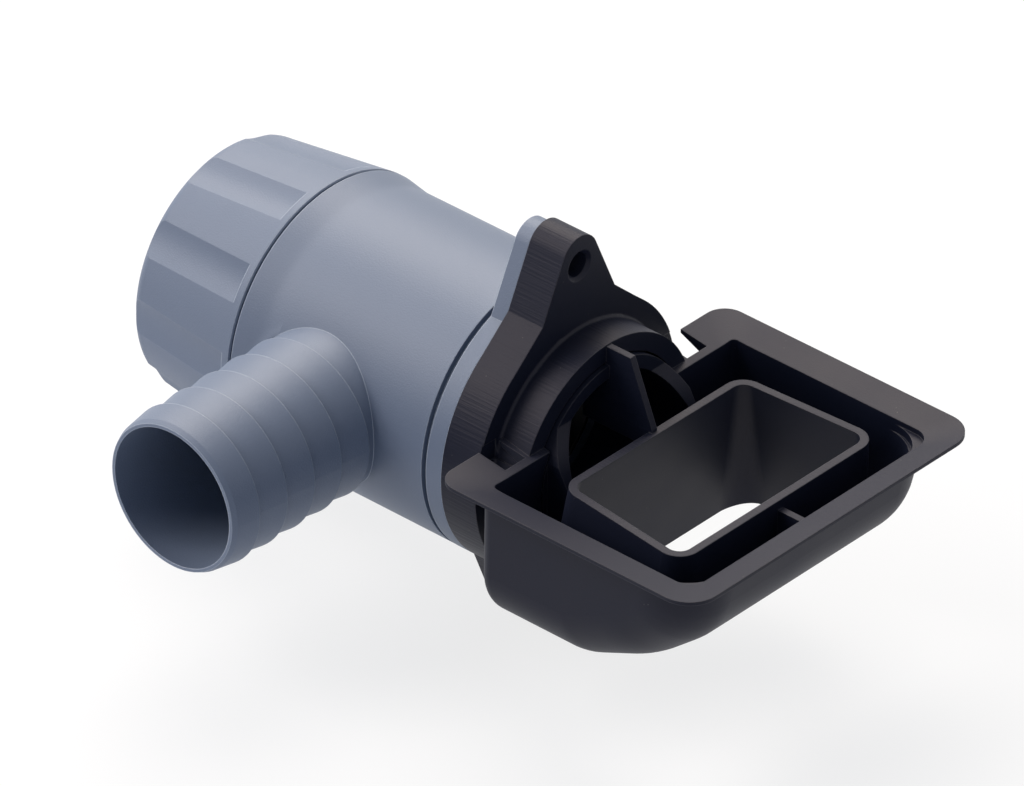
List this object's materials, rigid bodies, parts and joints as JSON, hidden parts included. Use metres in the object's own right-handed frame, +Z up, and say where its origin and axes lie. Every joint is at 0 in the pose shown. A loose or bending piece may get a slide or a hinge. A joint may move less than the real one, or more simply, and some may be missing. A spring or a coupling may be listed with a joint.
{
  "type": "rainwater diverter",
  "caption": "Rainwater diverter: round housing with barbed hose tail and fluted shut-off knob, on a soft collector tray with an overflow chimney that stands inside a downpipe.",
  "frame": {"origin": "centre of the black plate's pipe-side face, on the axis of the housing and the neck", "axes": "+X through the pipe wall into the downpipe, -Y along the hose tail, away from the housing, +Z up the downpipe"},
  "size_m": [0.155, 0.1083, 0.0852],
  "materials": {
    "black_elastomer": "satin moulded elastomer",
    "grey_plastic": "satin, fine moulded texture",
    "drum_plastic": "smooth moulded plastic",
    "seal_rubber": "smooth rubber"
  },
  "bodies": {
    "body": {"housing": "grey_plastic", "pipe_collector": "black_elastomer"},
    "valve": {"control_knob": "grey_plastic", "valve_drum": "drum_plastic", "drum_seal_front": "seal_rubber", "drum_seal_rear": "seal_rubber"}
  },
  "joints": [
    {"name": "knob_turn", "type": "hinge", "parent": "body", "child": "valve", "pos_m": [-0.0417, 0, 0], "axis": [1, 0, 0], "range_deg": [0, 90]}
  ]
}
